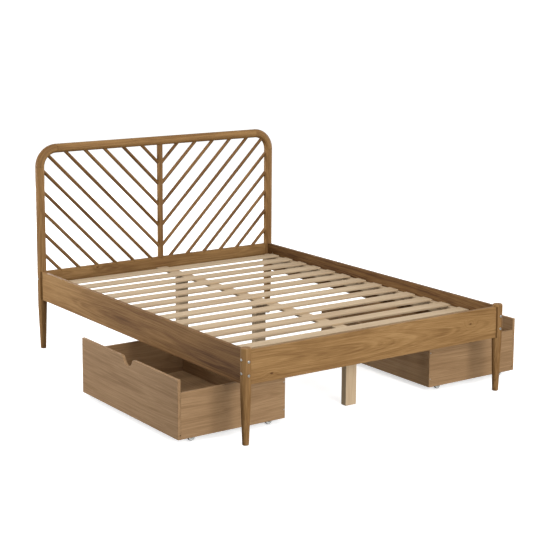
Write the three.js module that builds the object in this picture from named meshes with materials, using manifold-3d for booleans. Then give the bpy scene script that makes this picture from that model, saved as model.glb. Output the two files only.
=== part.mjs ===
// Platform bed with a chevron headboard, a slatted deck and two storage drawers on fixed castors.
// Millimetres. X runs across the bed, +Y points to the headboard and +Z is up. The origin is on the
// floor under the middle centre leg. Both drawers stand part-way out from under their side rail.
import * as THREE from 'three';
import { mergeVertices } from 'three/addons/utils/BufferGeometryUtils.js';
import Module from 'manifold-3d';

const wasm = await Module();
wasm.setup();

// ---------------------------------------------------------------- driving dimensions

const fit = 0.3; // gap kept between pieces that touch

const mattress = { width: 1500, length: 2000, sidePlay: 3, endPlay: 2 };

const rail = { thickness: 22, height: 160, bottom: 279 };
const railCornerGap = 3; // a cross rail's end to the inner face of the side rail
const headRail = { thickness: 18, height: 80 };

const leg = {
  radius: 25,
  footRadius: 15.5,
  footRounding: 2.5,
  taperTop: 254, // straight above this height, tapered below it
  inset: 9, // leg axis behind the outer face of the rails
  topRise: 12, // foot legs stand this far above the rails
  topRounding: 3,
};

const headboard = {
  height: 1122.5, // axis of the top tube
  bendRadius: 100,
  spindleRadius: 17,
  rodRadius: 9,
  firstRodDrop: 140, // top tube axis down to where the first rod meets the centre line
  cornerRodOffset: 15, // corner rod above the 45 degree line through the bend's centre
  lastRodRise: 86, // last rod above the corner between the post and the head rail
  rodsAboveCorner: 5,
  rodsBelowCorner: 5,
  tenon: 5, // how deep a rod or the spindle runs into the head rail
};

const bolt = {
  holeRadius: 3.5,
  pitch: 64, // height between the two bolts of a joint
  lengthwiseDrop: 1, // bolts along Y sit this far below the middle of the rail
  crosswiseRise: 7, // bolts along X sit this far above it, so that the two pairs pass each other
  holeDepth: 62,
  nutRadius: 5.25,
  nutFromRailEnd: 55,
  nutWallLeft: 4, // wood left behind a cross-dowel hole
};

const slat = {
  count: 14,
  width: 72,
  thickness: 10,
  belowRailTop: 51,
  endGap: 12, // slat end to side rail
  headGap: 77, // first slat to head rail
  footGap: 31, // last slat to foot rail
};

const ledge = { width: 30, height: 45, lipWidth: 15, lipDrop: 15, legGap: 4 };
const beam = { width: 70, thickness: 10, endGap: 2 };
const centreLeg = { width: 65, depth: 38, spacing: 780 };

const drawer = {
  width: 907,
  depth: 590,
  frontLap: 23.5, // the front stands this far above the lower edge of the side rail
  sideClearance: 38.5, // drawer sides stay this far below the rails
  panel: 15,
  floorGap: 22.5,
  fromFootFace: 173, // foot rail's outer face to the drawer's near side
  leftPull: 246, // front face beyond the side rail's outer face
  rightPull: 279,
  bottomThickness: 5,
  grooveDepth: 6,
};

const notch = { depth: 42, bottomRadius: 44, shoulderRadius: 20 };

const castor = {
  wheelRadius: 17.5,
  wheelWidth: 14,
  treadRounding: 2,
  boreRadius: 3.4,
  axleRadius: 3,
  wheelTopGap: 3.2, // wheel to the plate above it
  fromFront: 85,
  fromBack: 78,
  fromSide: 27, // wheel's middle to the drawer's outer side face
  plate: { length: 48, width: 22, thickness: 1.8 },
  cheekThickness: 1.5,
  cheekGap: 0.8,
  cheekHalfLength: 15,
  cheekEndRadius: 6.5,
  rivetRadius: 4.5,
  rivetHeight: 1,
};

const segments = { leg: 24, tube: 24, ring: 32, rod: 12, hole: 8, wheel: 20, arc: 8 };

// ---------------------------------------------------------------- worked-out places

const innerX = mattress.width / 2 + mattress.sidePlay;
const outerX = innerX + rail.thickness;
const legX = outerX - leg.inset;
const railEndToLegAxis = rail.thickness - leg.inset + railCornerGap;
const innerLength = mattress.length + 2 * mattress.endPlay;
const span = rail.thickness + innerLength + headRail.thickness / 2;
const footFaceY = -span / 2;
const footInnerY = footFaceY + rail.thickness;
const postY = span / 2;
const headInnerY = postY - headRail.thickness / 2;
const footLegY = footFaceY + leg.inset;
const railTop = rail.bottom + rail.height;
const railMiddle = rail.bottom + rail.height / 2;
const headRailBottom = railTop - headRail.height;
const slatTop = railTop - slat.belowRailTop;
const slatBottom = slatTop - slat.thickness;
const bendX = legX - headboard.bendRadius;
const bendZ = headboard.height - headboard.bendRadius;
const beyond = 2 * leg.radius; // how far a cut runs past the wood

const alongY = railMiddle - bolt.lengthwiseDrop;
const alongX = railMiddle + bolt.crosswiseRise;
const boltHeights = {
  sideRails: [alongY - bolt.pitch / 2, alongY + bolt.pitch / 2],
  footRail: [alongX - bolt.pitch / 2, alongX + bolt.pitch / 2],
  headRail: [(headRailBottom + railTop) / 2],
};

// ---------------------------------------------------------------- materials

function material(color, roughness, metalness = 0) {
  return new THREE.MeshStandardMaterial({ color, roughness, metalness });
}

const stainedOak = material(0x96703f, 0.5);
const drawerBoard = material(0x967c5d, 0.55);
const pine = material(0xc3ad91, 0.65);
const zincSteel = material(0x9a9a98, 0.35, 1);
const whitePlastic = material(0xc9c9c4, 0.4);

// ---------------------------------------------------------------- solids

// A closed three.js geometry as a manifold-3d solid.
function solid(geometry) {
  const bare = geometry.index ? geometry.toNonIndexed() : geometry.clone();
  bare.deleteAttribute('normal');
  bare.deleteAttribute('uv');
  const merged = mergeVertices(bare, 1e-4);
  const corners = merged.index.array;
  const triVerts = [];
  for (let i = 0; i < corners.length; i += 3) {
    const [a, b, c] = corners.slice(i, i + 3);
    if (a !== b && b !== c && c !== a) triVerts.push(a, b, c);
  }
  const mesh = new wasm.Mesh({
    numProp: 3,
    vertProperties: merged.attributes.position.array,
    triVerts: new Uint32Array(triVerts),
  });
  return new wasm.Manifold(mesh);
}

function block(low, high) {
  const size = high.map((value, i) => value - low[i]);
  const middle = high.map((value, i) => (value + low[i]) / 2);
  return solid(new THREE.BoxGeometry(...size).translate(...middle));
}

function rod(from, to, radius, sides) {
  const start = new THREE.Vector3(...from);
  const run = new THREE.Vector3(...to).sub(start);
  const length = run.length();
  const turn = new THREE.Quaternion().setFromUnitVectors(new THREE.Vector3(0, 1, 0), run.normalize());
  const middle = start.addScaledVector(run, length / 2);
  const geometry = new THREE.CylinderGeometry(radius, radius, length, sides);
  return solid(geometry.applyQuaternion(turn).translate(...middle));
}

// A solid of revolution about the Z axis, from [radius, height] pairs that start and end on the axis.
function turned(profile) {
  const points = profile.map(([radius, height]) => new THREE.Vector2(radius, height));
  return solid(new THREE.LatheGeometry(points, segments.leg).rotateX(Math.PI / 2));
}

function joined(solids) {
  return solids.reduce((whole, next) => whole.add(next));
}

function without(whole, cuts) {
  return cuts.reduce((left, cut) => left.subtract(cut), whole);
}

const bed = new THREE.Group();

function addMesh(group, name, body, look) {
  const { vertProperties, triVerts } = body.getMesh();
  const geometry = new THREE.BufferGeometry();
  geometry.setAttribute('position', new THREE.BufferAttribute(vertProperties, 3));
  geometry.setIndex(new THREE.BufferAttribute(triVerts, 1));
  geometry.computeVertexNormals();
  const mesh = new THREE.Mesh(geometry, look);
  mesh.name = name;
  group.add(mesh);
}

// ---------------------------------------------------------------- legs and posts

function turnedLeg(x, y, height, topRounding) {
  const profile = [
    [0, 0],
    [leg.footRadius - leg.footRounding, 0],
    [leg.footRadius, leg.footRounding],
    [leg.radius, leg.taperTop],
    [leg.radius, height - topRounding],
    [leg.radius - topRounding, height],
    [0, height],
  ];
  return turned(profile).translate([x, y, 0]);
}

// The open housing that a side rail's end lies in: facing is +1 where the rail runs towards the head.
function sideRailHousing(side, y, facing) {
  const stop = y + facing * (railEndToLegAxis - fit);
  const far = y + facing * beyond;
  const inner = side * (innerX - fit);
  const outer = side * (legX + beyond);
  const low = [Math.min(inner, outer), Math.min(stop, far), rail.bottom - fit];
  const high = [Math.max(inner, outer), Math.max(stop, far), railTop + fit];
  return block(low, high);
}

// The housing of a rail that runs across the bed between lowY and highY.
function crossRailHousing(side, lowY, highY, bottom) {
  const stop = side * (legX - railEndToLegAxis + fit);
  const far = side * (legX - beyond);
  const low = [Math.min(stop, far), lowY, bottom - fit];
  const high = [Math.max(stop, far), highY, railTop + fit];
  return block(low, high);
}

function boltHolesThroughLeg(x, y, crosswiseHeights) {
  const lengthwise = boltHeights.sideRails.map((z) => {
    return rod([x, y - beyond, z], [x, y + beyond, z], bolt.holeRadius, segments.hole);
  });
  const crosswise = crosswiseHeights.map((z) => {
    return rod([x - beyond, y, z], [x + beyond, y, z], bolt.holeRadius, segments.hole);
  });
  return [...lengthwise, ...crosswise];
}

function footLeg(side) {
  const x = side * legX;
  const whole = turnedLeg(x, footLegY, railTop + leg.topRise, leg.topRounding);
  return without(whole, [
    sideRailHousing(side, footLegY, 1),
    crossRailHousing(side, footFaceY - beyond, footInnerY + fit, rail.bottom),
    ...boltHolesThroughLeg(x, footLegY, boltHeights.footRail),
  ]);
}

function headPost(side) {
  const x = side * legX;
  const whole = turnedLeg(x, postY, bendZ - fit / 2, 0);
  const half = headRail.thickness / 2 + fit;
  return without(whole, [
    sideRailHousing(side, postY, -1),
    crossRailHousing(side, postY - half, postY + half, headRailBottom),
    ...boltHolesThroughLeg(x, postY, boltHeights.headRail),
  ]);
}

// ---------------------------------------------------------------- rails

function sideRail(side) {
  const startY = footLegY + railEndToLegAxis;
  const endY = postY - railEndToLegAxis;
  const xs = [side * innerX, side * outerX].sort((a, b) => a - b);
  const whole = block([xs[0], startY, rail.bottom], [xs[1], endY, railTop]);
  const x = side * legX;
  const cuts = boltHeights.sideRails.flatMap((z) => {
    return [[startY, 1], [endY, -1]].flatMap(([end, inward]) => {
      const nutY = end + inward * bolt.nutFromRailEnd;
      const nutDepth = side * (outerX - bolt.nutWallLeft);
      const deep = end + inward * bolt.holeDepth;
      return [
        rod([x, end - inward * fit, z], [x, deep, z], bolt.holeRadius, segments.hole),
        rod([side * (innerX - fit), nutY, z], [nutDepth, nutY, z], bolt.nutRadius, segments.hole),
      ];
    });
  });
  return without(whole, cuts);
}

// A rail across the bed. Its cross-dowel holes open on the face at openY and stop at closedY.
function crossRail({ lowY, highY, bottom, axisY, openY, closedY, boltsAt }) {
  const endX = legX - railEndToLegAxis;
  const whole = block([-endX, lowY, bottom], [endX, highY, railTop]);
  const cuts = boltsAt.flatMap((z) => {
    return [-1, 1].flatMap((side) => {
      const nutX = side * (endX - bolt.nutFromRailEnd);
      const deep = side * (endX - bolt.holeDepth);
      return [
        rod([side * (endX + fit), axisY, z], [deep, axisY, z], bolt.holeRadius, segments.hole),
        rod([nutX, openY, z], [nutX, closedY, z], bolt.nutRadius, segments.hole),
      ];
    });
  });
  return without(whole, cuts);
}

function footRail() {
  return crossRail({
    lowY: footFaceY,
    highY: footInnerY,
    bottom: rail.bottom,
    axisY: footLegY,
    openY: footInnerY + fit,
    closedY: footFaceY + bolt.nutWallLeft,
    boltsAt: boltHeights.footRail,
  });
}

function headRailBoard() {
  const back = postY + headRail.thickness / 2;
  return crossRail({
    lowY: headInnerY,
    highY: back,
    bottom: headRailBottom,
    axisY: postY,
    openY: back + fit,
    closedY: headInnerY + bolt.nutWallLeft,
    boltsAt: boltHeights.headRail,
  });
}

// ---------------------------------------------------------------- headboard

// A seam is the gap left where two lengths of tube meet.
function topTube(radius, seam) {
  const end = bendX - seam / 2;
  const z = headboard.height;
  return rod([-end, postY, z], [end, postY, z], radius, segments.tube);
}

function cornerBend(side, radius, seam) {
  const ring = new THREE.TorusGeometry(headboard.bendRadius, radius, segments.tube, segments.ring);
  const whole = solid(ring.rotateX(Math.PI / 2)).translate([side * bendX, postY, bendZ]);
  const reach = headboard.bendRadius + 2 * radius;
  const near = side * (bendX + seam / 2);
  const far = side * (bendX + reach);
  const low = [Math.min(near, far), postY - reach, bendZ + seam / 2];
  const high = [Math.max(near, far), postY + reach, bendZ + reach];
  return whole.intersect(block(low, high));
}

// The posts, bends and top tube, swollen by the fit and with no seams: what cuts the rods' ends.
function frameClearance() {
  const radius = leg.radius + fit;
  const posts = [-1, 1].map((side) => {
    const x = side * legX;
    return rod([x, postY, 0], [x, postY, bendZ + fit], radius, segments.tube);
  });
  const bends = [-1, 1].map((side) => cornerBend(side, radius, 0));
  return [...posts, ...bends, topTube(radius, -fit)];
}

// Rods rise outwards at 45 degrees, so each is given by its height where it meets the centre line.
function rodHeights() {
  const first = headboard.height - headboard.firstRodDrop;
  const corner = bendZ - bendX + headboard.cornerRodOffset;
  const last = railTop - (legX - leg.radius) + headboard.lastRodRise;
  const heights = [];
  for (let i = 0; i < headboard.rodsAboveCorner; i += 1) {
    heights.push(first + ((corner - first) * i) / headboard.rodsAboveCorner);
  }
  for (let i = 0; i <= headboard.rodsBelowCorner; i += 1) {
    heights.push(corner + ((last - corner) * i) / headboard.rodsBelowCorner);
  }
  return heights;
}

// How far from the centre line a rod meets the middle of the frame's tube.
function rodReach(height) {
  const onTopTube = headboard.height - height;
  if (onTopTube <= bendX) return onTopTube;
  if (height + legX <= bendZ) return legX;
  const above = height + bendX - bendZ;
  const { bendRadius } = headboard;
  return bendX + (Math.sqrt(2 * bendRadius ** 2 - above ** 2) - above) / 2;
}

const meetsSpindle = (height) => height > railTop + 2 * headboard.rodRadius;

function rodPair(height) {
  const outer = rodReach(height);
  const inner = meetsSpindle(height) ? 0 : railTop - headboard.tenon - height;
  return [-1, 1].map((side) => {
    const low = [side * inner, postY, height + inner];
    const high = [side * outer, postY, height + outer];
    return rod(low, high, headboard.rodRadius, segments.rod);
  });
}

function rodsWhere(test) {
  return rodHeights().filter(test).flatMap(rodPair);
}

// The centre spindle with the rods glued into it, which end against the top tube.
function spindleAndUpperRods() {
  const z = headboard.height;
  const spindle = rod([0, postY, railTop + fit], [0, postY, z], headboard.spindleRadius, segments.leg);
  return without(joined([spindle, ...rodsWhere(meetsSpindle)]), frameClearance());
}

// The head rail with the rods glued into its top edge, which end against the posts and bends.
function headRailAndLowerRods() {
  const rods = rodsWhere((height) => !meetsSpindle(height));
  return joined([headRailBoard(), without(joined(rods), frameClearance())]);
}

// ---------------------------------------------------------------- slatted deck

function sideLedge(side) {
  const top = slatBottom - fit;
  const bottom = top - ledge.height;
  const outer = innerX - fit;
  const startY = footLegY + leg.radius + ledge.legGap;
  const endY = postY - leg.radius - ledge.legGap;
  const xs = (a, b) => [side * a, side * b].sort((p, q) => p - q);
  const [stepLow, stepHigh] = xs(outer - ledge.width, outer);
  const [lipLow, lipHigh] = xs(outer - ledge.width - ledge.lipWidth, outer);
  return joined([
    block([stepLow, startY, bottom], [stepHigh, endY, top]),
    block([lipLow, startY, bottom], [lipHigh, endY, top - ledge.lipDrop]),
  ]);
}

function centreBeam() {
  const top = slatBottom - fit;
  const low = [-beam.width / 2, footInnerY + beam.endGap, top - beam.thickness];
  return block(low, [beam.width / 2, headInnerY - beam.endGap, top]);
}

function deckLeg(y) {
  const top = slatBottom - beam.thickness - 2 * fit;
  const low = [-centreLeg.width / 2, y - centreLeg.depth / 2, 0];
  return block(low, [centreLeg.width / 2, y + centreLeg.depth / 2, top]);
}

function slatAt(index) {
  const first = headInnerY - slat.headGap - slat.width / 2;
  const last = footInnerY + slat.footGap + slat.width / 2;
  const y = first + ((last - first) * index) / (slat.count - 1);
  const endX = innerX - slat.endGap;
  return block([-endX, y - slat.width / 2, slatBottom], [endX, y + slat.width / 2, slatTop]);
}

// ---------------------------------------------------------------- drawers
// Each drawer is made in its own frame: the front's outer face is at x = 0, the box runs to -X,
// and y = 0 is the middle of its width.

const boxLow = drawer.floorGap;
const halfWidth = drawer.width / 2;
const frontTop = rail.bottom + drawer.frontLap;
const sideTop = rail.bottom - drawer.sideClearance;
const grooveLow = 2 * castor.wheelRadius + castor.wheelTopGap + castor.plate.thickness;
const grooveHigh = grooveLow + drawer.bottomThickness + 2 * fit;

// The finger notch's outline, seen along X: a round bottom that runs into two round shoulders.
function notchCut() {
  const low = frontTop - notch.depth + notch.bottomRadius;
  const high = frontTop - notch.shoulderRadius;
  const reach = notch.bottomRadius + notch.shoulderRadius;
  const shoulderY = Math.sqrt(reach ** 2 - (high - low) ** 2);
  const lean = Math.atan2(high - low, shoulderY);
  const shape = new THREE.Shape();
  shape.moveTo(-shoulderY, frontTop + notch.depth);
  shape.lineTo(-shoulderY, frontTop);
  shape.absarc(-shoulderY, high, notch.shoulderRadius, Math.PI / 2, -lean, true);
  shape.absarc(0, low, notch.bottomRadius, Math.PI - lean, 2 * Math.PI + lean, false);
  shape.absarc(shoulderY, high, notch.shoulderRadius, Math.PI + lean, Math.PI / 2, true);
  shape.lineTo(shoulderY, frontTop + notch.depth);
  const depth = 3 * drawer.panel;
  const geometry = new THREE.ExtrudeGeometry(shape, {
    depth,
    bevelEnabled: false,
    curveSegments: segments.arc,
  });
  geometry.rotateX(Math.PI / 2).rotateZ(Math.PI / 2).translate(-2 * drawer.panel, 0, 0);
  return solid(geometry);
}

function frontPanel() {
  const { panel, grooveDepth } = drawer;
  const whole = block([-panel, -halfWidth, boxLow], [0, halfWidth, frontTop]);
  const low = [-panel - fit, -halfWidth - fit, grooveLow];
  const groove = block(low, [grooveDepth - panel, halfWidth + fit, grooveHigh]);
  return without(whole, [groove, notchCut()]);
}

function sidePanel(side) {
  const { panel, depth, grooveDepth } = drawer;
  const xEnd = -panel - fit;
  const ys = (a, b) => [side * a, side * b].sort((p, q) => p - q);
  const [lowY, highY] = ys(halfWidth - panel, halfWidth);
  const [grooveNear, grooveFar] = ys(halfWidth - panel - fit, halfWidth - panel + grooveDepth);
  const whole = block([-depth, lowY, boxLow], [xEnd, highY, sideTop]);
  const groove = block([-depth - fit, grooveNear, grooveLow], [xEnd + fit, grooveFar, grooveHigh]);
  return without(whole, [groove]);
}

function backPanel() {
  const { panel, depth, grooveDepth } = drawer;
  const half = halfWidth - panel - fit;
  const whole = block([-depth, -half, boxLow], [panel - depth, half, sideTop]);
  const inner = panel - depth;
  const groove = block([inner - grooveDepth, -halfWidth, grooveLow], [inner + fit, halfWidth, grooveHigh]);
  return without(whole, [groove]);
}

function bottomPanel() {
  const { panel, depth, grooveDepth } = drawer;
  const into = grooveDepth - fit - panel;
  const half = halfWidth + into;
  return block([-depth - into, -half, grooveLow + fit], [into, half, grooveHigh - fit]);
}

function castorBracket() {
  const { plate, wheelRadius, cheekThickness, cheekHalfLength, cheekEndRadius } = castor;
  const under = grooveLow - plate.thickness;
  const corner = [plate.length / 2, plate.width / 2];
  const base = block([...corner.map((value) => -value), under], [...corner, grooveLow]);
  const shape = new THREE.Shape();
  shape.moveTo(-cheekHalfLength, under + plate.thickness / 2);
  shape.lineTo(-cheekEndRadius, wheelRadius);
  shape.absarc(0, wheelRadius, cheekEndRadius, Math.PI, 2 * Math.PI, false);
  shape.lineTo(cheekHalfLength, under + plate.thickness / 2);
  const innerY = castor.wheelWidth / 2 + castor.cheekGap;
  const cheeks = [-innerY - cheekThickness, innerY].map((y) => {
    const settings = { depth: cheekThickness, bevelEnabled: false, curveSegments: segments.arc };
    const geometry = new THREE.ExtrudeGeometry(shape, settings);
    return solid(geometry.rotateX(Math.PI / 2)).translate([0, y + cheekThickness, 0]);
  });
  const outerY = innerY + cheekThickness;
  const rivetY = outerY + castor.rivetHeight;
  const axle = rod([0, -outerY, wheelRadius], [0, outerY, wheelRadius], castor.axleRadius, segments.hole);
  const rivets = [-1, 1].map((side) => {
    const start = [0, side * (outerY - cheekThickness / 2), wheelRadius];
    return rod(start, [0, side * rivetY, wheelRadius], castor.rivetRadius, segments.hole);
  });
  return joined([base, ...cheeks, axle, ...rivets]);
}

function castorWheel() {
  const { wheelRadius, wheelWidth, treadRounding, boreRadius } = castor;
  const half = wheelWidth / 2;
  const profile = [
    [boreRadius, -half],
    [wheelRadius - treadRounding, -half],
    [wheelRadius, treadRounding - half],
    [wheelRadius, half - treadRounding],
    [wheelRadius - treadRounding, half],
    [boreRadius, half],
    [boreRadius, -half],
  ];
  const points = profile.map(([radius, y]) => new THREE.Vector2(radius, y));
  return solid(new THREE.LatheGeometry(points, segments.wheel)).translate([0, 0, wheelRadius]);
}

function castorPlaces() {
  const xs = [-castor.fromFront, castor.fromBack - drawer.depth];
  const y = halfWidth - castor.fromSide;
  return xs.flatMap((x) => [[x, -y, 0], [x, y, 0]]);
}

// side is -1 for the drawer that pulls out to -X, and +1 for the one that pulls out to +X.
function addDrawer(name, side, pull) {
  const group = new THREE.Group();
  group.position.set(side * (outerX + pull), footFaceY + drawer.fromFootFace + halfWidth, 0);
  group.rotation.z = side > 0 ? 0 : Math.PI;
  addMesh(group, `${name}_front`, frontPanel(), drawerBoard);
  addMesh(group, `${name}_back`, backPanel(), drawerBoard);
  addMesh(group, `${name}_side_foot`, sidePanel(-side), drawerBoard);
  addMesh(group, `${name}_side_head`, sidePanel(side), drawerBoard);
  addMesh(group, `${name}_bottom`, bottomPanel(), drawerBoard);
  castorPlaces().forEach((place, i) => {
    addMesh(group, `${name}_castor_${i + 1}`, castorBracket().translate(place), zincSteel);
    addMesh(group, `${name}_wheel_${i + 1}`, castorWheel().translate(place), whitePlastic);
  });
  bed.add(group);
}

// ---------------------------------------------------------------- assembly

[['left', -1], ['right', 1]].forEach(([name, side]) => {
  addMesh(bed, `foot_leg_${name}`, footLeg(side), stainedOak);
  addMesh(bed, `head_post_${name}`, headPost(side), stainedOak);
  addMesh(bed, `headboard_corner_${name}`, cornerBend(side, leg.radius, fit), stainedOak);
  addMesh(bed, `side_rail_${name}`, sideRail(side), stainedOak);
  addMesh(bed, `slat_ledge_${name}`, sideLedge(side), pine);
});
addMesh(bed, 'foot_rail', footRail(), stainedOak);
addMesh(bed, 'headboard_top_rail', topTube(leg.radius, fit), stainedOak);
addMesh(bed, 'centre_spindle_and_upper_rods', spindleAndUpperRods(), stainedOak);
addMesh(bed, 'head_rail_and_lower_rods', headRailAndLowerRods(), stainedOak);
addMesh(bed, 'centre_beam', centreBeam(), pine);
[['foot', -1], ['middle', 0], ['head', 1]].forEach(([name, step]) => {
  addMesh(bed, `centre_leg_${name}`, deckLeg(step * centreLeg.spacing), pine);
});
for (let i = 0; i < slat.count; i += 1) {
  addMesh(bed, `slat_${String(i + 1).padStart(2, '0')}`, slatAt(i), pine);
}
addDrawer('drawer_left', -1, drawer.leftPull);
addDrawer('drawer_right', 1, drawer.rightPull);

export default bed;
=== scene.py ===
"""The looks of a platform bed with a chevron headboard and a storage drawer under each side.

Metres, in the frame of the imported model: X across the bed, +Y to the headboard, +Z up.
"""

import math
import random

import bmesh
import bpy
import numpy as np
from mathutils import Matrix, Vector


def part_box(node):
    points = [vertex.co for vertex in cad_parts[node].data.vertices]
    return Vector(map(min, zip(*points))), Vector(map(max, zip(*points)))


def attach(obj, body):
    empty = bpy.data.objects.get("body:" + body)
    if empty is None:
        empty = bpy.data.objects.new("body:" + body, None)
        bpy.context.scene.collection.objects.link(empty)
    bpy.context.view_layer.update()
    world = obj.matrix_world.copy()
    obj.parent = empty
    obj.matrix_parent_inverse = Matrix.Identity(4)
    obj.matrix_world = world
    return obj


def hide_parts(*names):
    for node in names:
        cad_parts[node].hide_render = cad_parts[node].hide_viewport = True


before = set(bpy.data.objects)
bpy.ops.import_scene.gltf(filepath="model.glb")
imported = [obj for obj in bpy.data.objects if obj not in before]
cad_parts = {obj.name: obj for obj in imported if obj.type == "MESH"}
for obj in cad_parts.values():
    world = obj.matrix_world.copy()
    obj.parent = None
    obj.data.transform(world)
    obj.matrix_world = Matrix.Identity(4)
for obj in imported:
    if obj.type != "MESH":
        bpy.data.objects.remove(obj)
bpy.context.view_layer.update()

# ---------------------------------------------------------------- sizes

MM = 0.001
FIT = 0.3 * MM  # gap between pieces that touch
X, Y, Z = Vector((1, 0, 0)), Vector((0, 1, 0)), Vector((0, 0, 1))
SIDES = {"left": -1, "right": 1}

LEG_RADIUS = 25 * MM
FOOT_RADIUS = 15.5 * MM
FOOT_ROUNDING = 3 * MM
TOP_ROUNDING = 4 * MM
TAPER_TOP = 254 * MM
TAPER_BLEND_DEPTH = 0.5 * MM
TAPER_BLEND_STEP = 10 * MM
RAIL_TO_LEG_AXIS = 16 * MM  # how near a rail's end comes to the axis of its leg

BEND_RADIUS = 100 * MM
SEAM_ROUNDING = 1.8 * MM  # eased ends where two lengths of tube meet
SPINDLE_RADIUS = 17 * MM
ROD_RADIUS = 9.5 * MM
SPINDLE_TENON = 4 * MM
ROD_TENON = 9 * MM  # how far the lower end of a rod's axis lies below the head rail's top
ROD_START = 4 * MM  # where the axis of a rod that meets the spindle starts, off the centre line
ROD_END_SHORT = 6 * MM  # how far a rod ends short of the middle of the frame's tube, along X
FIRST_ROD_DROP = 140 * MM
CORNER_ROD_OFFSET = 15 * MM
LAST_ROD_RISE = 86 * MM
RODS_ABOVE_CORNER = 5
RODS_BELOW_CORNER = 5

BOLT_PITCH = 64 * MM
LENGTHWISE_DROP = 1 * MM
CROSSWISE_RISE = 7 * MM
BOLT_HEAD_RADIUS = 6.5 * MM
BOLT_HEAD_HEIGHT = 2 * MM
BOLT_SOCKET_RADIUS = 2.7 * MM
BOLT_SEAT = 24 * MM  # leg axis to the flat that a bolt head bears on
NUT_RADIUS = 5 * MM
NUT_LENGTH = 14 * MM
NUT_FROM_RAIL_END = 55 * MM
NUT_SUNK = 2.5 * MM
NUT_SLOT_REACH = 4 * MM
NUT_SLOT_HALF_WIDTH = 0.6 * MM
NUT_SLOT_DEPTH = 1.2 * MM
HEAD_RAIL_HEIGHT = 80 * MM
HEAD_RAIL_HALF = 9 * MM

GROOVE_DEPTH = 6 * MM
NOTCH_DEPTH = 42 * MM
NOTCH_RADIUS = 44 * MM
NOTCH_SHOULDER = 20 * MM
SCREW_HEAD_RADIUS = 3.6 * MM
SCREW_FROM_BOTTOM = 43 * MM  # a drawer side's lower screw above its lower edge
SCREW_FROM_TOP = 40 * MM

CASTOR_PLATE_THICKNESS = 1.8 * MM
CASTOR_PLATE_HALF_WIDTH = 11 * MM
CASTOR_PLATE_CORNER = 4 * MM
CASTOR_EDGE = 0.4 * MM
CHEEK_THICKNESS = 1.5 * MM
CHEEK_GAP = 0.8 * MM  # wheel to the cheek beside it
CHEEK_HALF_LENGTH = 15 * MM
CHEEK_END_RADIUS = 6.5 * MM
RIVET_RADIUS = 4.5 * MM
AXLE_RADIUS = 3 * MM
TREAD_ROUNDING = 2 * MM

LEDGE_STEP_WIDTH = 30 * MM
LEDGE_LIP_DROP = 15 * MM

SIDE_RAIL_DARKENING_AND_PAINTED_SHADE = {"left": (-0.06, 0.21), "right": (-0.24, 0.0)}  # lighter by, and more so per metre; the right rail is darker all over as painted shade of its inner face, the left rail gets darker towards the foot
ROD_STAIN = -0.22
SPINDLE_STAIN = -0.07
LEAN = 0.03  # most that the pith of a tree strays behind its board's face, per length
SIDE_LEAN = 0.01  # and sideways
RAIL_EDGE = 2.0 * MM
SLAT_EDGE = 1.6 * MM
PANEL_EDGE = 1.2 * MM
BOTTOM_EDGE = 0.5 * MM
CENTRE_LEG_EDGE = 2.5 * MM

CAMERA_PLACE = (-4.2912, -6.2125, 2.1322)
CAMERA_ANGLES = (34.924, 9.705, 0.286)  # yaw, pitch down and roll, in degrees
CAMERA_LENS = 98.47
CAMERA_SHIFT = -0.1
FLOOR_HALF = 150
FLOOR_DROP = 0.5 * MM  # keeps the floor off the feet's faces
FLOOR_GLOW = 0.6
SKY_BELOW, SKY_ABOVE = 0.15, 0.62

# ---------------------------------------------------------------- materials


class Shader:
    """A material whose nodes are added one at a time."""

    def __init__(self, name, slot):
        self.slot = slot
        self.material = bpy.data.materials.new(name)
        self.material.use_nodes = True
        self.tree = self.material.node_tree
        self.surface = self.tree.nodes["Principled BSDF"]

    def feed(self, socket, value):
        if isinstance(value, bpy.types.NodeSocket):
            self.tree.links.new(value, socket)
        else:
            socket.default_value = value

    def node(self, kind, values=(), **settings):
        made = self.tree.nodes.new("ShaderNode" + kind)
        for name, value in settings.items():
            setattr(made, name, value)
        for socket, value in values:
            self.feed(made.inputs[socket], value)
        return made

    def math(self, operation, *values, clamp=False):
        return self.node("Math", enumerate(values), operation=operation, use_clamp=clamp).outputs[0]

    def attribute(self, name):
        return self.node("Attribute", attribute_name=name)

    def stretched(self, vector, factors):
        return self.node("VectorMath", ((0, vector), (1, factors)), operation="MULTIPLY").outputs[0]

    def noise(self, vector, factors, detail=2.0, roughness=0.5):
        values = (("Vector", self.stretched(vector, factors)), ("Scale", 1.0))
        values += (("Detail", detail), ("Roughness", roughness))
        return self.node("TexNoise", values)

    def noise_along(self, distance, frequency, detail=1.0):
        values = (("W", distance), ("Scale", frequency), ("Detail", detail))
        return self.node("TexNoise", values, noise_dimensions="1D").outputs["Fac"]

    def between(self, value, low, high):
        """0 where value is at low, 1 where it is at high, smooth in between."""
        values = (("Value", value), ("From Min", low), ("From Max", high))
        return self.node("MapRange", values, interpolation_type="SMOOTHSTEP").outputs[0]

    def total(self, base, *parts):
        """base plus weight times (part - 0.5), for each (part, weight)."""
        for part, weight in parts:
            base = self.math("ADD", base, self.math("MULTIPLY_ADD", part, weight, -weight / 2))
        return base

    def spread(self, value):
        """A noise's middle range opened out to 0..1."""
        return self.between(value, 0.3, 0.7)

    def ramp(self, value, stops):
        made = self.node("ValToRGB", (("Fac", value),))
        elements = made.color_ramp.elements
        elements[0].position, elements[0].color = stops[0][0], (*stops[0][1], 1)
        elements[1].position, elements[1].color = stops[-1][0], (*stops[-1][1], 1)
        for position, color in stops[1:-1]:
            elements.new(position).color = (*color, 1)
        return made.outputs["Color"]

    def bump(self, height, strength, distance):
        values = (("Height", height), ("Strength", strength), ("Distance", distance))
        self.feed(self.surface.inputs["Normal"], self.node("Bump", values).outputs["Normal"])

    def set(self, **values):
        for name, value in values.items():
            self.feed(self.surface.inputs[name.replace("_", " ")], value)


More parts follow.
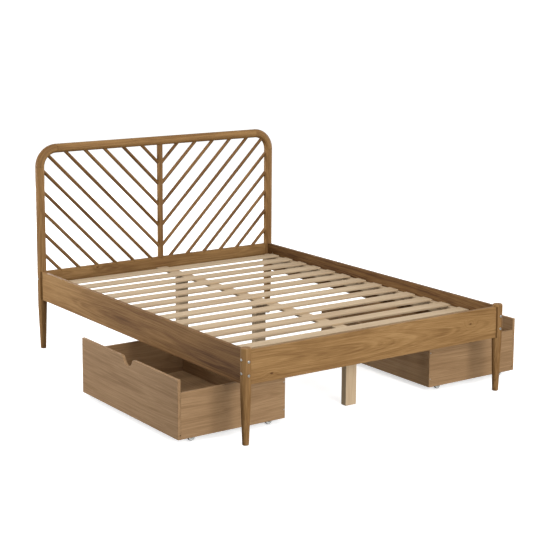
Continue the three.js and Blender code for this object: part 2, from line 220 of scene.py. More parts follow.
def wood(name, slot, stops, ring=11 * MM, rings=0.2, fibres=0.24, blotches=0.2, knots=0.0, pores=0.3,
         roughness=0.5, gloss=0.16):
    """Solid wood. Each piece carries its own grain coordinates: along it, then two across from its pith."""
    s = Shader(name, slot)
    grain = s.attribute("grain").outputs["Vector"]
    tone = s.attribute("tone").outputs["Fac"]
    wander = s.noise(grain, (1.3, 5, 5), detail=1.5)
    off = s.node("VectorMath", ((0, wander.outputs["Color"]), (1, (0.5,) * 3)), operation="SUBTRACT")
    sway = s.stretched(off.outputs[0], (0, 0.045, 0.045))
    bent = s.node("VectorMath", ((0, grain), (1, sway)), operation="ADD").outputs[0]
    across = s.stretched(bent, (0, 1, 1))
    radius = s.node("VectorMath", ((0, across),), operation="LENGTH").outputs["Value"]

    knot_space = s.stretched(grain, (1.3, 2.4, 0))
    cells = s.node("TexVoronoi", (("Vector", knot_space), ("Scale", 1.0)), voronoi_dimensions="2D")
    distance = cells.outputs["Distance"]
    swirl = s.math("SUBTRACT", 1.0, s.between(distance, 0.0, 0.08))
    heart = s.math("SUBTRACT", 1.0, s.between(distance, 0.004, 0.018))
    radius = s.math("MULTIPLY_ADD", swirl, 0.012 if knots else 0.0, radius)

    broad = s.spread(s.noise_along(radius, 1 / ring, detail=1.5))
    fine = s.spread(s.noise_along(radius, 4.2 / ring, detail=1.0))
    fibre = s.spread(s.noise(bent, (6, 210, 210), detail=3, roughness=0.6).outputs["Fac"])
    pore = s.noise(bent, (48, 1500, 1500), detail=1).outputs["Fac"]
    blotch = s.spread(s.noise(grain, (2.2, 11, 11), detail=3).outputs["Fac"])
    worn = s.between(s.node("NewGeometry").outputs["Pointiness"], 0.52, 0.62)

    shade = s.total(0.5, (broad, rings), (fine, rings * 0.7), (fibre, fibres), (blotch, blotches))
    shade = s.math("ADD", shade, tone)
    shade = s.math("MULTIPLY_ADD", heart, -knots, shade)
    pitted = s.between(pore, 0.60, 0.72)
    shade = s.math("MULTIPLY_ADD", pitted, -0.25 * pores, shade)
    shade = s.math("MULTIPLY_ADD", worn, 0.10, shade, clamp=True)
    s.set(Base_Color=s.ramp(shade, stops), Specular_IOR_Level=gloss)
    s.set(Roughness=s.math("MULTIPLY_ADD", shade, -0.16, roughness + 0.08))
    height = s.total(0.5, (fibre, 0.5), (fine, 0.25))
    s.bump(s.math("MULTIPLY_ADD", pitted, -0.5 * pores, height), 0.35, 0.5 * MM)
    return s


def metal(name, slot, color, roughness, streak=0.25):
    """Plated steel, faintly scratched and clouded."""
    s = Shader(name, slot)
    place = s.node("TexCoord").outputs["Object"]
    cloud = s.noise(place, (160, 160, 160), detail=3).outputs["Fac"]
    scratch = s.noise(place, (90, 2400, 2400), detail=2).outputs["Fac"]
    shade = s.total(0.5, (cloud, 0.7), (scratch, streak))
    dark = tuple(value * 0.72 for value in color)
    s.set(Base_Color=s.ramp(shade, ((0.2, dark), (0.8, color))), Metallic=1.0)
    s.set(Roughness=s.math("MULTIPLY_ADD", shade, 0.18, roughness))
    s.bump(scratch, 0.15, 0.1 * MM)
    return s


def plastic(name, slot, color, roughness):
    """Moulded plastic with a fine spark-eroded texture and a little scuffing."""
    s = Shader(name, slot)
    place = s.node("TexCoord").outputs["Object"]
    spark = s.noise(place, (1800, 1800, 1800), detail=2).outputs["Fac"]
    scuff = s.noise(place, (70, 70, 300), detail=4, roughness=0.7).outputs["Fac"]
    shade = s.total(0.6, (scuff, 0.8), (spark, 0.2))
    dark = tuple(value * 0.7 for value in color)
    s.set(Base_Color=s.ramp(shade, ((0.15, dark), (0.75, color))))
    s.set(Roughness=s.math("MULTIPLY_ADD", scuff, 0.2, roughness))
    s.bump(spark, 0.2, 0.15 * MM)
    return s


def brown(*stops):
    """Ramp stops from (position, red, green, blue)."""
    return tuple((position, color) for position, *color in stops)


OAK = wood(
    "stained_oak", "stained_oak",
    brown((0.0, 0.070, 0.030, 0.010), (0.35, 0.159, 0.081, 0.028), (0.6, 0.232, 0.128, 0.048),
          (1.0, 0.335, 0.202, 0.087)),
    knots=0.5, gloss=0.1,
)
BOARD = wood(
    "drawer_board", "drawer_board",
    brown((0.0, 0.105, 0.056, 0.023), (0.4, 0.222, 0.131, 0.063), (0.65, 0.290, 0.179, 0.092),
          (1.0, 0.38, 0.252, 0.140)),
    ring=12 * MM, rings=0.15, fibres=0.2, blotches=0.14, roughness=0.54, gloss=0.14,
)
PINE = wood(
    "pine", "pine",
    brown((0.0, 0.255, 0.152, 0.080), (0.4, 0.405, 0.295, 0.184), (0.7, 0.475, 0.362, 0.236),
          (1.0, 0.55, 0.435, 0.30)),
    ring=9 * MM, rings=0.2, fibres=0.16, blotches=0.14, pores=0.1, roughness=0.6, gloss=0.2,
)
BRIGHT_STEEL = metal("bolt_steel", "zinc_steel", (0.62, 0.62, 0.60), 0.22)
ZINC = metal("castor_zinc", "zinc_steel", (0.42, 0.42, 0.41), 0.32)
WHEEL = plastic("wheel_plastic", "white_plastic", (0.50, 0.50, 0.48), 0.4)
TYRE = plastic("wheel_tyre", "white_plastic", (0.055, 0.055, 0.055), 0.55)

# ---------------------------------------------------------------- mesh work


def block(low, high):
    bm = bmesh.new()
    low, high = Vector(low), Vector(high)
    bmesh.ops.create_cube(bm, size=1, matrix=Matrix.LocRotScale((low + high) / 2, None, high - low))
    return bm


def span(low_corner, high_corner):
    """A block between two corners given in any order."""
    low = [min(a, b) for a, b in zip(low_corner, high_corner)]
    high = [max(a, b) for a, b in zip(low_corner, high_corner)]
    return block(low, high)


def swept(centres, radii, across=Y, sides=48):
    """A closed round solid whose rings lie about centres, which keep to the plane square to across."""
    bm = bmesh.new()
    rings = []
    last = len(centres) - 1
    for i, (centre, radius) in enumerate(zip(centres, radii)):
        tangent = (centres[min(i + 1, last)] - centres[max(i - 1, 0)]).normalized()
        up = tangent.cross(across)
        turns = [2 * math.pi * k / sides for k in range(sides)]
        points = [centre + radius * (math.cos(a) * up + math.sin(a) * across) for a in turns]
        rings.append([bm.verts.new(point) for point in points])
    for one, other in zip(rings, rings[1:]):
        for k in range(sides):
            bm.faces.new((one[k - 1], one[k], other[k], other[k - 1]))
    bm.faces.new(rings[0])
    bm.faces.new(reversed(rings[-1]))
    bmesh.ops.recalc_face_normals(bm, faces=bm.faces)
    return bm


def corner_arc(radius, steps=5):
    """(inset, along) pairs that round an edge, from the end face to the side."""
    angles = [math.pi / 2 * k / steps for k in range(steps + 1)]
    return [(radius * (1 - math.sin(a)), radius * (1 - math.cos(a))) for a in angles]


def bar(start, end, radius, ease, sides=48):
    """A straight round bar with eased ends."""
    run = (end - start).normalized()
    arc = corner_arc(ease, 3)
    centres = [start + run * along for _, along in arc]
    centres += [end - run * along for _, along in reversed(arc)]
    radii = [radius - inset for inset, _ in arc]
    return swept(centres, radii + radii[::-1], sides=sides)


def temporary(bm):
    mesh = bpy.data.meshes.new("temporary")
    bm.to_mesh(mesh)
    bm.free()
    made = bpy.data.objects.new("temporary", mesh)
    bpy.context.scene.collection.objects.link(made)
    return made


def carved(bm, cutters):
    """bm with each cutter's solid taken away. Uses up bm and the cutters."""
    for cutter in cutters:
        whole, tool = temporary(bm), temporary(cutter)
        cut = whole.modifiers.new("cut", "BOOLEAN")
        cut.operation, cut.solver, cut.object = "DIFFERENCE", "EXACT", tool
        bm = bmesh.new()
        bm.from_object(whole, bpy.context.evaluated_depsgraph_get())
        for used in (whole, tool):
            mesh = used.data
            bpy.data.objects.remove(used)
            bpy.data.meshes.remove(mesh)
    return bm


def eased(bm, width, segments=3):
    """bm with its sharp edges rounded."""
    edges = [e for e in bm.edges if len(e.link_faces) == 2 and e.calc_face_angle() > math.radians(40)]
    bmesh.ops.bevel(bm, geom=edges, offset=width, segments=segments, profile=0.5, affect="EDGES",
                    clamp_overlap=True)
    return bm


def straight_grain(start, along, across):
    basis = np.array([along, across, along.cross(across)])
    return lambda places: (places - np.array(start)) @ basis.T


def bent_grain(centre):
    """Grain that follows a quarter bend in the XZ plane."""
    def coordinates(places):
        off = places - np.array(centre)
        angle = np.arctan2(off[:, 2], np.abs(off[:, 0]))
        reach = np.hypot(off[:, 0], off[:, 2]) - BEND_RADIUS
        return np.stack([angle * BEND_RADIUS, reach, off[:, 1]], axis=1)
    return coordinates


def board_grain(low, high):
    """Grain along a board's longest side, with its widest face towards the pith."""
    size = high - low
    order = sorted(range(3), key=lambda axis: -size[axis])
    along, across = (Vector([float(i == axis) for i in range(3)]) for axis in order[:2])
    return straight_grain((low + high) / 2, along, across)


def piece(name, bm, look, body, nodes=(), grain=None, pith=(0.0, 0.0), spread=0.05, shade=0.0, fade=0.0):
    """Makes an object of bm, which rides on a body and may stand for CAD nodes.

    Its wood is lighter by shade, by a chance amount up to spread, and by fade for each metre along it.
    """
    mesh = bpy.data.meshes.new(name)
    bm.to_mesh(mesh)
    bm.free()
    chance = random.Random(name)
    if grain:
        places = np.empty(len(mesh.vertices) * 3, np.float32)
        mesh.vertices.foreach_get("co", places)
        coordinates = grain(places.reshape(-1, 3).astype(float))
        along = coordinates[:, 0].copy()
        lean = [chance.uniform(-SIDE_LEAN, SIDE_LEAN), chance.uniform(-LEAN, LEAN)]
        coordinates[:, 1:] += np.outer(along, lean)
        coordinates += np.array([chance.uniform(0, 40), *pith])
        vectors = mesh.attributes.new("grain", "FLOAT_VECTOR", "POINT")
        vectors.data.foreach_set("vector", coordinates.astype(np.float32).ravel())
        tones = mesh.attributes.new("tone", "FLOAT", "POINT")
        tone = chance.uniform(-spread, spread) + shade + fade * along
        tones.data.foreach_set("value", tone.astype(np.float32))
    mesh.shade_smooth()
    mesh.set_sharp_from_angle(angle=math.radians(35))
    mesh.materials.append(look.material)
    made = bpy.data.objects.new(name, mesh)
    bpy.context.scene.collection.objects.link(made)
    normals = made.modifiers.new("flat_faces", "WEIGHTED_NORMAL")
    normals.keep_sharp = True
    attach(made, body)
    if nodes:
        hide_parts(*nodes)
    return made


def board_pith(name):
    """How far a board's pith lies off its middle: a little across, more behind its face."""
    chance = random.Random(name + " pith")
    return chance.uniform(-0.03, 0.03), chance.uniform(0.035, 0.075)


def board(name, node, look, body, edge, before=(), after=(), **more):
    """A planed board in place of a CAD node, cut both before and after its edges are eased."""
    low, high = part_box(node)
    bm = carved(eased(carved(block(low, high), before), edge), after)
    return piece(name, bm, look, body, (node,), board_grain(low, high), board_pith(name), **more)


# ---------------------------------------------------------------- places

foot_low, foot_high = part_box("foot_rail")
head_low, head_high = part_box("head_post_right")
rail_low, rail_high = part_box("side_rail_right")
tube_low, tube_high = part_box("headboard_top_rail")

LEG_X = (head_low.x + head_high.x) / 2
POST_Y = (head_low.y + head_high.y) / 2
FOOT_LEG_Y = rail_low.y - RAIL_TO_LEG_AXIS
RAIL_TOP, RAIL_BOTTOM = rail_high.z, rail_low.z
RAIL_MIDDLE = (RAIL_TOP + RAIL_BOTTOM) / 2
TUBE_Z = (tube_low.z + tube_high.z) / 2
BEND_X, BEND_Z = LEG_X - BEND_RADIUS, TUBE_Z - BEND_RADIUS
HEAD_RAIL_BOTTOM = RAIL_TOP - HEAD_RAIL_HEIGHT
CROSS_RAIL_END = LEG_X - RAIL_TO_LEG_AXIS

LENGTHWISE_BOLTS = [RAIL_MIDDLE - LENGTHWISE_DROP + step * BOLT_PITCH / 2 for step in (-1, 1)]
CROSSWISE_BOLTS = {
    "foot": [RAIL_MIDDLE + CROSSWISE_RISE + step * BOLT_PITCH / 2 for step in (-1, 1)],
    "head": [(HEAD_RAIL_BOTTOM + RAIL_TOP) / 2],
}

# ---------------------------------------------------------------- fixings


def bolt(name, axis_point, outward):
    """The head of a connector bolt with a hexagon socket, seated on the flat cut into a leg."""
    arc = corner_arc(0.8 * MM, 4)
    seat = axis_point + outward * BOLT_SEAT
    centres = [seat, seat + outward * 0.2 * MM]
    centres += [seat + outward * (BOLT_HEAD_HEIGHT - along) for _, along in reversed(arc)]
    radii = [BOLT_HEAD_RADIUS] * 2 + [BOLT_HEAD_RADIUS - inset for inset, _ in reversed(arc)]
    head = swept(centres, radii, across=Z, sides=40)
    socket = [seat + outward * 0.4 * MM, seat + outward * 2 * BOLT_HEAD_HEIGHT]
    hexagon = swept(socket, [BOLT_SOCKET_RADIUS] * 2, across=Z, sides=6)
    piece(name, carved(head, [hexagon]), BRIGHT_STEEL, "frame")


def barrel_nut(name, face, inward):
    """A cross dowel in its hole, with a screwdriver slot in the end that shows."""
    start = face + inward * NUT_SUNK
    dowel = swept([start, start + inward * NUT_LENGTH], [NUT_RADIUS] * 2, across=Z, sides=32)
    half_slot = Z * NUT_SLOT_REACH + inward.cross(Z) * NUT_SLOT_HALF_WIDTH
    slot = span(start - inward * MM - half_slot, start + inward * NUT_SLOT_DEPTH + half_slot)
    piece(name, carved(eased(dowel, 0.3 * MM, 2), [slot]), ZINC, "frame")


def nut_hole(face, inward):
    start = face - inward * MM
    return swept([start, face + inward * (NUT_LENGTH + MM)], [NUT_RADIUS + 0.25 * MM] * 2, across=Z)


# ---------------------------------------------------------------- legs and posts


def leg_profile(height, top_rounding):
    """(radius, height) up a leg: a rounded foot, a taper that blends into the straight, an eased top."""
    foot = [(FOOT_RADIUS - inset, along) for inset, along in corner_arc(FOOT_ROUNDING)]
    blend = [(LEG_RADIUS - TAPER_BLEND_DEPTH * (1 - k / 4) ** 2, TAPER_TOP + (k - 2) * TAPER_BLEND_STEP)
             for k in range(1, 5)]
    top = [(LEG_RADIUS - inset, height - along) for inset, along in reversed(corner_arc(top_rounding))]
    return foot + blend + top


def leg(name, x, y, height, top_rounding, cuts, node):
    profile = leg_profile(height, top_rounding)
    centres = [Vector((x, y, z)) for _, z in profile]
    bm = carved(swept(centres, [radius for radius, _ in profile], sides=64), cuts)
    grain = straight_grain((x, y, 0), Z, X)
    piece(name, bm, OAK, "frame", (node,), grain, pith=(0.034, 0.021))


def bolt_flat(axis_point, outward):
    """What a bolt head's flat takes out of a leg."""
    seat = axis_point + outward * BOLT_SEAT
    return swept([seat, seat + outward * LEG_RADIUS], [BOLT_HEAD_RADIUS + 0.4 * MM] * 2, across=Z)


def housing(side, y, facing):
    """What a side rail's end takes out of a leg."""
    inner = side * (rail_low.x - FIT)
    start = y + facing * (RAIL_TO_LEG_AXIS - FIT)
    far = y + facing * 2 * LEG_RADIUS
    return span((inner, start, RAIL_BOTTOM - FIT), (side * (LEG_X + 2 * LEG_RADIUS), far, RAIL_TOP + FIT))


def cross_housing(side, low_y, high_y, bottom):
    start = side * (LEG_X - RAIL_TO_LEG_AXIS + FIT)
    far = side * (LEG_X - 2 * LEG_RADIUS)
    return span((start, low_y, bottom - FIT), (far, high_y, RAIL_TOP + FIT))


def make_leg_and_post(word, side):
    x = side * LEG_X
    places = {"foot": (FOOT_LEG_Y, -Y), "head": (POST_Y, Y)}
    cuts = {
        "foot": [housing(side, FOOT_LEG_Y, 1),
                 cross_housing(side, foot_low.y - LEG_RADIUS, foot_high.y + FIT, RAIL_BOTTOM)],
        "head": [housing(side, POST_Y, -1),
                 cross_housing(side, POST_Y - HEAD_RAIL_HALF - FIT, POST_Y + HEAD_RAIL_HALF + FIT,
                               HEAD_RAIL_BOTTOM)],
    }
    for end, (y, outward) in places.items():
        for i, z in enumerate(LENGTHWISE_BOLTS):
            cuts[end].append(bolt_flat(Vector((x, y, z)), outward))
            bolt(f"bolt_{end}_{word}_lengthwise_{i + 1}", Vector((x, y, z)), outward)
        for i, z in enumerate(CROSSWISE_BOLTS[end]):
            cuts[end].append(bolt_flat(Vector((x, y, z)), side * X))
            bolt(f"bolt_{end}_{word}_crosswise_{i + 1}", Vector((x, y, z)), side * X)
    foot_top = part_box(f"foot_leg_{word}")[1].z
    leg(f"foot_leg_{word}_turned", x, FOOT_LEG_Y, foot_top, TOP_ROUNDING, cuts["foot"], f"foot_leg_{word}")
    post_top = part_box(f"head_post_{word}")[1].z
    leg(f"head_post_{word}_turned", x, POST_Y, post_top, SEAM_ROUNDING, cuts["head"], f"head_post_{word}")


# ---------------------------------------------------------------- rails


def make_side_rail(word, side):
    low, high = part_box(f"side_rail_{word}")
    inner = side * rail_low.x
    holes = []
    for end, (y, step) in {"foot": (low.y, 1), "head": (high.y, -1)}.items():
        for i, z in enumerate(LENGTHWISE_BOLTS):
            face = Vector((inner, y + step * NUT_FROM_RAIL_END, z))
            holes.append(nut_hole(face, side * X))
            barrel_nut(f"nut_{end}_{word}_lengthwise_{i + 1}", face, side * X)
    # The right rail is darkened all over as painted shade; the left rail only gets darker towards the foot.
    shade, fade = SIDE_RAIL_DARKENING_AND_PAINTED_SHADE[word]
    board(f"side_rail_{word}_board", f"side_rail_{word}", OAK, "frame", RAIL_EDGE, after=holes, shade=shade,
          fade=fade)


def cross_rail_nuts(end, face_y, inward):
    holes = []
    for word, side in SIDES.items():
        for i, z in enumerate(CROSSWISE_BOLTS[end]):
            face = Vector((side * (CROSS_RAIL_END - NUT_FROM_RAIL_END), face_y, z))
            holes.append(nut_hole(face, inward))
            barrel_nut(f"nut_{end}_{word}_crosswise_{i + 1}", face, inward)
    return holes


def make_foot_rail():
    holes = cross_rail_nuts("foot", foot_high.y, -Y)
    board("foot_rail_board", "foot_rail", OAK, "frame", RAIL_EDGE, after=holes)


def make_head_rail():
    low = Vector((-CROSS_RAIL_END, POST_Y - HEAD_RAIL_HALF, HEAD_RAIL_BOTTOM))
    high = Vector((CROSS_RAIL_END, POST_Y + HEAD_RAIL_HALF, RAIL_TOP))
    bm = carved(eased(block(low, high), RAIL_EDGE), cross_rail_nuts("head", high.y, -Y))
    piece("head_rail_board", bm, OAK, "frame", ("head_rail_and_lower_rods",), board_grain(low, high),
          board_pith("head_rail"))


# ---------------------------------------------------------------- headboard


def make_tubes():
    left, right = (Vector((side * (BEND_X - FIT / 2), POST_Y, TUBE_Z)) for side in (-1, 1))
    piece("headboard_top_tube", bar(left, right, LEG_RADIUS, SEAM_ROUNDING, 64), OAK, "frame",
          ("headboard_top_rail",), straight_grain(left, X, Y), pith=(0.03, 0.024))
    for word, side in SIDES.items():
        centre = Vector((side * BEND_X, POST_Y, BEND_Z))
        arc = corner_arc(SEAM_ROUNDING, 3)
        ends = [(along / BEND_RADIUS, inset) for inset, along in arc]
        quarter = math.pi / 2
        middle = [(quarter * k / 24, 0) for k in range(1, 24)]
        stations = ends + middle + [(quarter - angle, inset) for angle, inset in reversed(ends)]
        centres = [centre + BEND_RADIUS * Vector((side * math.cos(a), 0, math.sin(a))) for a, _ in stations]
        bm = swept(centres, [LEG_RADIUS - inset for _, inset in stations], sides=64)
        piece(f"headboard_bend_{word}", bm, OAK, "frame", (f"headboard_corner_{word}",), bent_grain(centre),
              pith=(0.027, -0.02))


def rod_heights():
    """Where each pair of rods meets the centre line, from the top down."""
    first = TUBE_Z - FIRST_ROD_DROP
    corner = BEND_Z - BEND_X + CORNER_ROD_OFFSET
    last = RAIL_TOP - (LEG_X - LEG_RADIUS) + LAST_ROD_RISE
    above = [first + (corner - first) * i / RODS_ABOVE_CORNER for i in range(RODS_ABOVE_CORNER)]
    below = [corner + (last - corner) * i / RODS_BELOW_CORNER for i in range(RODS_BELOW_CORNER + 1)]
    return above + below


def rod_reach(height):
    """How far from the centre line a rod meets the middle of the frame's tube."""
    if TUBE_Z - height <= BEND_X:
        return TUBE_Z - height
    if height + LEG_X <= BEND_Z:
        return LEG_X
    above = height + BEND_X - BEND_Z
    return BEND_X + (math.sqrt(2 * BEND_RADIUS**2 - above**2) - above) / 2


def make_rods():
    spindle = (Vector((0, POST_Y, RAIL_TOP - SPINDLE_TENON)), Vector((0, POST_Y, TUBE_Z)))
    piece("centre_spindle", bar(*spindle, SPINDLE_RADIUS, MM), OAK, "frame",
          ("centre_spindle_and_upper_rods",), straight_grain(spindle[0], Z, X), pith=(0.02, 0.014),
          shade=SPINDLE_STAIN)
    for word, side in SIDES.items():
        for i, height in enumerate(rod_heights()):
            upper = height > RAIL_TOP + 2 * ROD_RADIUS
            inner = ROD_START if upper else RAIL_TOP - ROD_TENON - height
            outer = rod_reach(height) - ROD_END_SHORT
            low, high = (Vector((side * reach, POST_Y, height + reach)) for reach in (inner, outer))
            node = "centre_spindle_and_upper_rods" if upper else "head_rail_and_lower_rods"
            run = (high - low).normalized()
            piece(f"rod_{word}_{i + 1:02d}", bar(low, high, ROD_RADIUS, 0.5 * MM, 24), OAK, "frame", (node,),
                  straight_grain(low, run, Y), pith=(0.016, 0.012), spread=0.06, shade=ROD_STAIN)


# ---------------------------------------------------------------- slatted deck


def make_deck():
    for word, side in SIDES.items():
        node = f"slat_ledge_{word}"
        low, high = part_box(node)
        far = side * max(abs(low.x), abs(high.x))
        step = far - side * LEDGE_STEP_WIDTH
        rebate = span((step, low.y - MM, high.z - LEDGE_LIP_DROP), (0, high.y + MM, high.z + MM))
        board(f"slat_ledge_{word}_batten", node, PINE, "frame", SLAT_EDGE, before=[rebate])
    board("centre_beam_board", "centre_beam", PINE, "frame", SLAT_EDGE)
    for word in ("foot", "middle", "head"):
        board(f"centre_leg_{word}_post", f"centre_leg_{word}", PINE, "frame", CENTRE_LEG_EDGE)
    slats = [name for name in sorted(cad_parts) if name.startswith("slat_") and name[5:].isdigit()]
    for node in slats:
        board(f"{node}_board", node, PINE, "frame", SLAT_EDGE, spread=0.09)


# ---------------------------------------------------------------- drawers


def notch_cutter(front_x, back_x, middle_y, top):
    """The finger notch: a round bottom that runs into two round shoulders."""
    low, high = top - NOTCH_DEPTH + NOTCH_RADIUS, top - NOTCH_SHOULDER
    reach = NOTCH_RADIUS + NOTCH_SHOULDER
    shoulder = math.sqrt(reach**2 - (high - low) ** 2)
    lean = math.atan2(high - low, shoulder)

    def arc(y, z, radius, start, end, steps):
        angles = [start + (end - start) * k / steps for k in range(steps + 1)]
        return [(y + radius * math.cos(a), z + radius * math.sin(a)) for a in angles]

    outline = [(-shoulder, top + NOTCH_DEPTH)]
    outline += arc(-shoulder, high, NOTCH_SHOULDER, math.pi / 2, -lean, 14)
    outline += arc(0, low, NOTCH_RADIUS, math.pi - lean, 2 * math.pi + lean, 28)[1:]
    outline += arc(shoulder, high, NOTCH_SHOULDER, math.pi + lean, math.pi / 2, 14)[1:]
    outline.append((shoulder, top + NOTCH_DEPTH))
    bm = bmesh.new()
    loops = [[bm.verts.new((x, middle_y + y, z)) for y, z in outline] for x in (front_x, back_x)]
    for i in range(len(outline)):
        bm.faces.new((loops[0][i - 1], loops[0][i], loops[1][i], loops[1][i - 1]))
    bm.faces.new(loops[0])
    bm.faces.new(reversed(loops[1]))
    bmesh.ops.recalc_face_normals(bm, faces=bm.faces)
    return bm


def countersunk_screw(name, face, outward, body):
    """A countersunk screw head with a cross recess, flush with a face."""
    side = outward.cross(Z) if abs(outward.z) < 0.5 else outward.cross(X)
    up = outward.cross(side)
    head = swept([face - outward * 2 * MM, face - outward * 0.2 * MM, face + outward * 0.15 * MM],
                 [2 * MM, SCREW_HEAD_RADIUS, SCREW_HEAD_RADIUS - 0.2 * MM], across=up, sides=28)
    cross = [span(*(face + outward * depth + sign * (long * 2.2 * MM + thin * 0.45 * MM)
                    for depth, sign in ((-1.2 * MM, -1), (MM, 1))))
             for long, thin in ((side, up), (up, side))]
    return piece(name, carved(head, cross), BRIGHT_STEEL, body)


def make_drawer(word, side):
    body = f"drawer_{word}"
    front_low, front_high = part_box(f"{body}_front")
    bottom_low, bottom_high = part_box(f"{body}_bottom")
    back_low, back_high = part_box(f"{body}_back")
    groove = (bottom_low.z - FIT, bottom_high.z + FIT)
    beyond = 10 * MM
    inner_front = front_low.x if side > 0 else front_high.x
    inner_back = back_high.x if side > 0 else back_low.x
    middle_y = (front_low.y + front_high.y) / 2

    front_groove = span((inner_front - side * MM, front_low.y - beyond, groove[0]),
                        (inner_front + side * GROOVE_DEPTH, front_high.y + beyond, groove[1]))
    notch = notch_cutter(front_low.x - beyond, front_high.x + beyond, middle_y, front_high.z)
    board(f"{body}_front_panel", f"{body}_front", BOARD, body, PANEL_EDGE, before=[notch],
          after=[front_groove])
    back_groove = span((inner_back + side * MM, back_low.y - beyond, groove[0]),
                       (inner_back - side * GROOVE_DEPTH, back_high.y + beyond, groove[1]))
    board(f"{body}_back_panel", f"{body}_back", BOARD, body, PANEL_EDGE, after=[back_groove])
    for end, step in {"foot": 1, "head": -1}.items():
        low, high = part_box(f"{body}_side_{end}")
        face = high.y if step > 0 else low.y
        side_groove = span((low.x - beyond, face + step * MM, groove[0]),
                           (high.x + beyond, face - step * GROOVE_DEPTH, groove[1]))
        board(f"{body}_side_{end}_panel", f"{body}_side_{end}", BOARD, body, PANEL_EDGE, after=[side_groove])
        outer = low.y if step > 0 else high.y
        screw_x = (back_low.x + back_high.x) / 2
        for i, z in enumerate((low.z + SCREW_FROM_BOTTOM, high.z - SCREW_FROM_TOP)):
            countersunk_screw(f"{body}_screw_{end}_{i + 1}", Vector((screw_x, outer, z)), -step * Y, body)
    board(f"{body}_bottom_panel", f"{body}_bottom", BOARD, body, BOTTOM_EDGE)
    for i in range(1, 5):
        make_castor(body, i)


def make_castor(body, i):
    """A fixed castor: a folded plate with two cheeks, its axle, and a wheel with a rubber tread."""
    low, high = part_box(f"{body}_castor_{i}")
    wheel_low, wheel_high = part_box(f"{body}_wheel_{i}")
    centre = (wheel_low + wheel_high) / 2
    radius = (wheel_high.z - wheel_low.z) / 2
    plate_bottom = high.z - CASTOR_PLATE_THICKNESS
    plate_low = Vector((low.x, centre.y - CASTOR_PLATE_HALF_WIDTH, plate_bottom))
    plate_high = Vector((high.x, centre.y + CASTOR_PLATE_HALF_WIDTH, high.z))
    plate = block(plate_low, plate_high)
    corners = [e for e in plate.edges if abs((e.verts[0].co - e.verts[1].co).normalized().z) > 0.9]
    bmesh.ops.bevel(plate, geom=corners, offset=CASTOR_PLATE_CORNER, segments=5, profile=0.5,
                    affect="EDGES")
    bracket = eased(plate, CASTOR_EDGE, 2)
    for step in (-1, 1):
        inner = centre.y + step * (wheel_high.y - centre.y + CHEEK_GAP)
        outer = inner + step * CHEEK_THICKNESS
        cheek = cheek_plate(centre, inner, outer, plate_bottom + CASTOR_PLATE_THICKNESS / 2)
        add_to(bracket, eased(cheek, CASTOR_EDGE, 2))
        head = [(outer - step * 0.5 * MM, RIVET_RADIUS), (outer + step * 0.5 * MM, RIVET_RADIUS),
                (outer + step * 0.9 * MM, 0.8 * RIVET_RADIUS), (outer + step * MM, 2 * MM)]
        centres = [Vector((centre.x, y, centre.z)) for y, _ in head]
        add_to(bracket, swept(centres, [r for _, r in head], across=Z, sides=24))
    axle = [Vector((centre.x, wheel_low.y - MM, centre.z)), Vector((centre.x, wheel_high.y + MM, centre.z))]
    add_to(bracket, swept(axle, [AXLE_RADIUS] * 2, across=Z, sides=24))
    piece(f"{body}_castor_{i}_bracket", bracket, ZINC, body, (f"{body}_castor_{i}",))
    make_wheel(f"{body}_wheel_{i}", centre, radius, (wheel_high.y - wheel_low.y) / 2)


def add_to(bm, other):
    """Adds other's mesh to bm."""
    mesh = bpy.data.meshes.new("added")
    other.to_mesh(mesh)
    other.free()
    bm.from_mesh(mesh)
    bpy.data.meshes.remove(mesh)


def cheek_plate(centre, inner_y, outer_y, top):
    """One side of a castor: wide under the plate, narrowing to a round end about the axle."""
    end, half = CHEEK_END_RADIUS, CHEEK_HALF_LENGTH
    angles = [math.pi + math.pi * k / 12 for k in range(13)]
    outline = [(-half, top)] + [(end * math.cos(a), centre.z + end * math.sin(a)) for a in angles]
    outline.append((half, top))
    bm = bmesh.new()
    loops = [[bm.verts.new((centre.x + x, y, z)) for x, z in outline] for y in (inner_y, outer_y)]
    for k in range(len(outline)):
        bm.faces.new((loops[0][k - 1], loops[0][k], loops[1][k], loops[1][k - 1]))
    bm.faces.new(loops[0])
    bm.faces.new(reversed(loops[1]))
    bmesh.ops.recalc_face_normals(bm, faces=bm.faces)
    return bm


def make_wheel(node, centre, radius, half):
    """A moulded wheel: a dished disc between a hub and a rim, inside a rounded tread."""
    section = [(3.3, half), (6.2, half), (6.6, half - 0.4 * MM), (6.6, half - 3 * MM), (12.4, half - 3 * MM),
               (12.6, half - 0.8 * MM), (13.4, half - 0.4 * MM), (15.6, half - 0.4 * MM)]
    right = [(r * MM, y) for r, y in section]
    tread = [(radius - inset, half - along) for inset, along in corner_arc(TREAD_ROUNDING, 4)]
    profile = right + tread + [(r, -y) for r, y in reversed(right + tread)]
    bm = bmesh.new()
    sides = 48
    rings = []
    for k in range(sides):
        a = 2 * math.pi * k / sides
        points = [centre + Vector((r * math.cos(a), y, r * math.sin(a))) for r, y in profile]
        rings.append([bm.verts.new(point) for point in points])
    count = len(profile)
    first_tread, last_tread = len(right) - 1, count - len(right)
    for k in range(sides):
        for j in range(count):
            face = bm.faces.new((rings[k - 1][j - 1], rings[k - 1][j], rings[k][j], rings[k][j - 1]))
            face.material_index = 1 if first_tread < j <= last_tread else 0
    bmesh.ops.recalc_face_normals(bm, faces=bm.faces)
    made = piece(f"{node}_moulded", bm, WHEEL, node, (node,))
    made.data.materials.append(TYRE.material)


# ---------------------------------------------------------------- assembly

make_foot_rail()
make_head_rail()
make_tubes()
make_rods()
make_deck()
for word, side in SIDES.items():
    make_leg_and_post(word, side)
    make_side_rail(word, side)
    make_drawer(word, side)

# ---------------------------------------------------------------- floor, light and camera


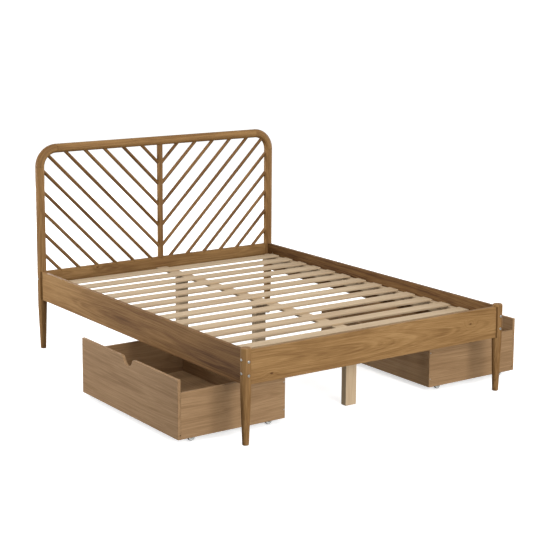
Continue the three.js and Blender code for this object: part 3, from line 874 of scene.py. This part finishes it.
def make_floor():
    bm = bmesh.new()
    bmesh.ops.create_grid(bm, x_segments=2, y_segments=2, size=FLOOR_HALF)
    mesh = bpy.data.meshes.new("floor")
    bm.to_mesh(mesh)
    bm.free()
    s = Shader("pale_floor", None)
    mottle = s.noise(s.node("TexCoord").outputs["Object"], (3, 3, 3), detail=3).outputs["Fac"]
    s.set(Base_Color=s.ramp(mottle, ((0.3, (0.78, 0.78, 0.78)), (0.7, (0.82, 0.82, 0.82)))), Roughness=0.9)
    s.set(Emission_Color=(1, 1, 1, 1), Emission_Strength=FLOOR_GLOW)
    mesh.materials.append(s.material)
    floor = bpy.data.objects.new("floor", mesh)
    floor.location.z = -FLOOR_DROP
    floor.visible_diffuse = False
    floor.visible_glossy = False
    bpy.context.scene.collection.objects.link(floor)


def make_world(below, above):
    """A plain sky whose strength rises from straight below to straight above."""
    world = bpy.data.worlds.new("studio")
    bpy.context.scene.world = world
    world.use_nodes = True
    nodes, links = world.node_tree.nodes, world.node_tree.links
    split = nodes.new("ShaderNodeSeparateXYZ")
    links.new(nodes.new("ShaderNodeTexCoord").outputs["Generated"], split.inputs[0])
    rise = nodes.new("ShaderNodeMapRange")
    rise.interpolation_type = "SMOOTHSTEP"
    for socket, value in (("From Min", -0.5), ("From Max", 0.5), ("To Min", below), ("To Max", above)):
        rise.inputs[socket].default_value = value
    links.new(split.outputs["Z"], rise.inputs["Value"])
    links.new(rise.outputs[0], nodes["Background"].inputs["Strength"])
    nodes["Background"].inputs["Color"].default_value = (1, 1, 1, 1)


def make_softbox(name, place, target, size, power):
    data = bpy.data.lights.new(name, "AREA")
    data.shape = "DISK"
    data.size = size
    data.energy = power
    lamp = bpy.data.objects.new(name, data)
    lamp.location = place
    lamp.rotation_euler = (Vector(target) - Vector(place)).to_track_quat("-Z", "Y").to_euler()
    lamp.visible_camera = False
    bpy.context.scene.collection.objects.link(lamp)


def make_camera():
    data = bpy.data.cameras.new("camera")
    data.sensor_width = 36
    data.lens = CAMERA_LENS
    data.shift_y = CAMERA_SHIFT
    data.clip_start, data.clip_end = 0.1, 500
    camera = bpy.data.objects.new("camera", data)
    yaw, pitch, roll = (math.radians(angle) for angle in CAMERA_ANGLES)
    level = Matrix.Rotation(-yaw, 4, "Z") @ Matrix.Rotation(math.pi / 2 - pitch, 4, "X")
    place = Matrix.Translation(CAMERA_PLACE)
    camera.matrix_world = place @ level @ Matrix.Rotation(roll, 4, "Z")
    bpy.context.scene.collection.objects.link(camera)
    bpy.context.scene.camera = camera


make_floor()
make_world(SKY_BELOW, SKY_ABOVE)
make_softbox("key", (-0.8, -0.6, 4.0), (0, 0.2, 0.4), 1.6, 62)
make_softbox("front", (0.0, -6.5, 1.4), (0, -0.5, 0.2), 4.5, 450)
make_softbox("left", (-4.2, 2.8, 0.9), (-0.7, 0.5, 0.3), 2.4, 215)
make_softbox("right", (6.0, 0.5, 1.4), (0.7, 0, 0.3), 3.0, 190)
make_softbox("back", (0.5, 6.5, 1.8), (0, 1.0, 0.5), 3.0, 160)
make_camera()
bpy.context.scene.view_settings.view_transform = "Standard"
